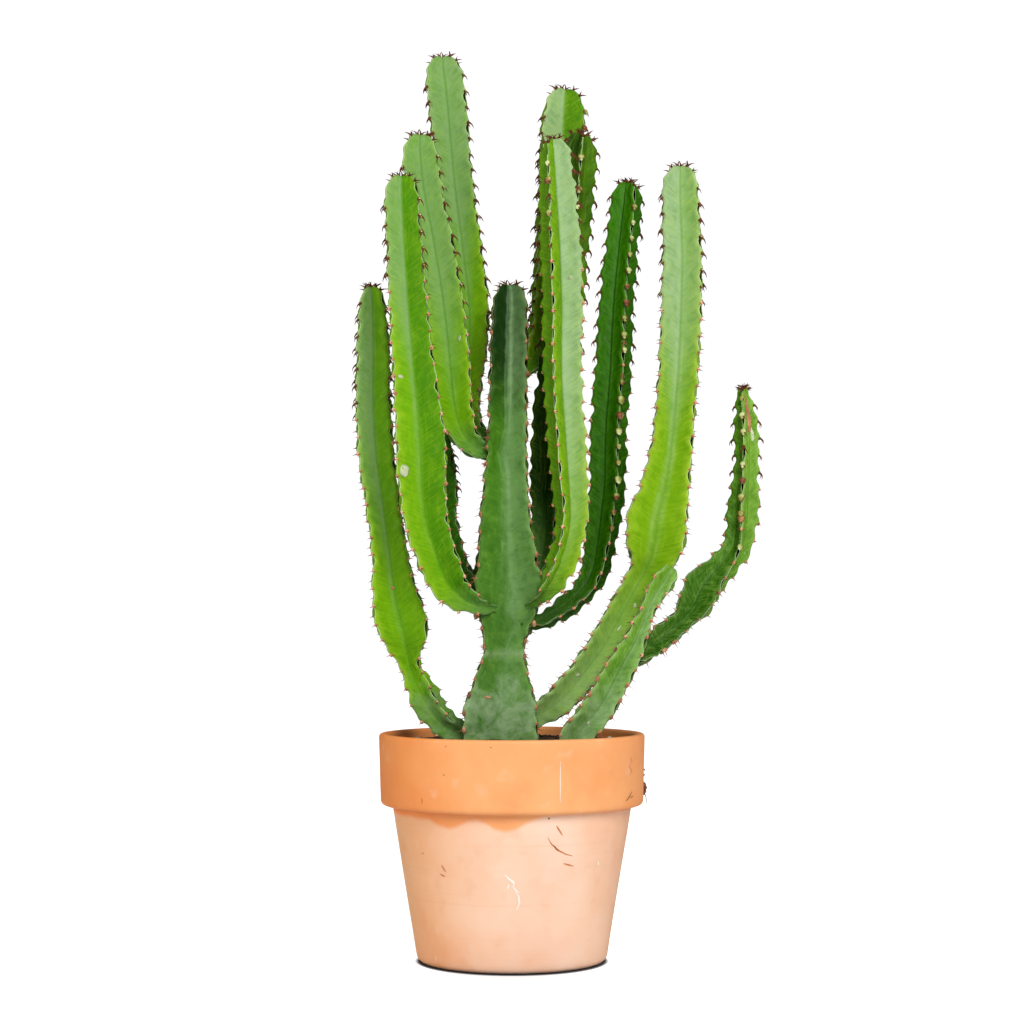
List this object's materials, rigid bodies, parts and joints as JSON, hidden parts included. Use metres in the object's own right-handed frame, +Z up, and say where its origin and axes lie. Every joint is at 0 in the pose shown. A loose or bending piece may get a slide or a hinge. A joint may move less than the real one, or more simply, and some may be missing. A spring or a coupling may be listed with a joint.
{
  "type": "potted euphorbia",
  "caption": "Tall branching succulent with upright four-ribbed spiny stems, standing in soil in a collared terracotta pot with a flat foot and a drain hole.",
  "frame": {"origin": "on the floor, under the middle of the plant's spread from left to right; the pot's axis is 42 mm from it on the -X side", "axes": "+Z up along the pot's axis, -Y towards the viewer of the picture, +X to the right in the picture"},
  "size_m": [0.3719, 0.2398, 0.8374],
  "materials": {
    "terracotta": "matte",
    "soil": "matte",
    "old_stem": "satin",
    "stem": "satin"
  },
  "bodies": {
    "root": {"pot": "terracotta", "soil": "soil", "trunk": "old_stem", "stem_left_low": "stem", "stem_left_front": "stem", "stem_left_high": "stem", "stem_left_tall": "stem", "stem_left_back": "stem", "stem_right_front": "stem", "stem_right_tall": "stem", "stem_right_back": "stem", "stem_right_mid": "stem", "stem_right_large": "stem", "stem_soil": "stem", "stem_far_right": "stem"}
  },
  "joints": []
}
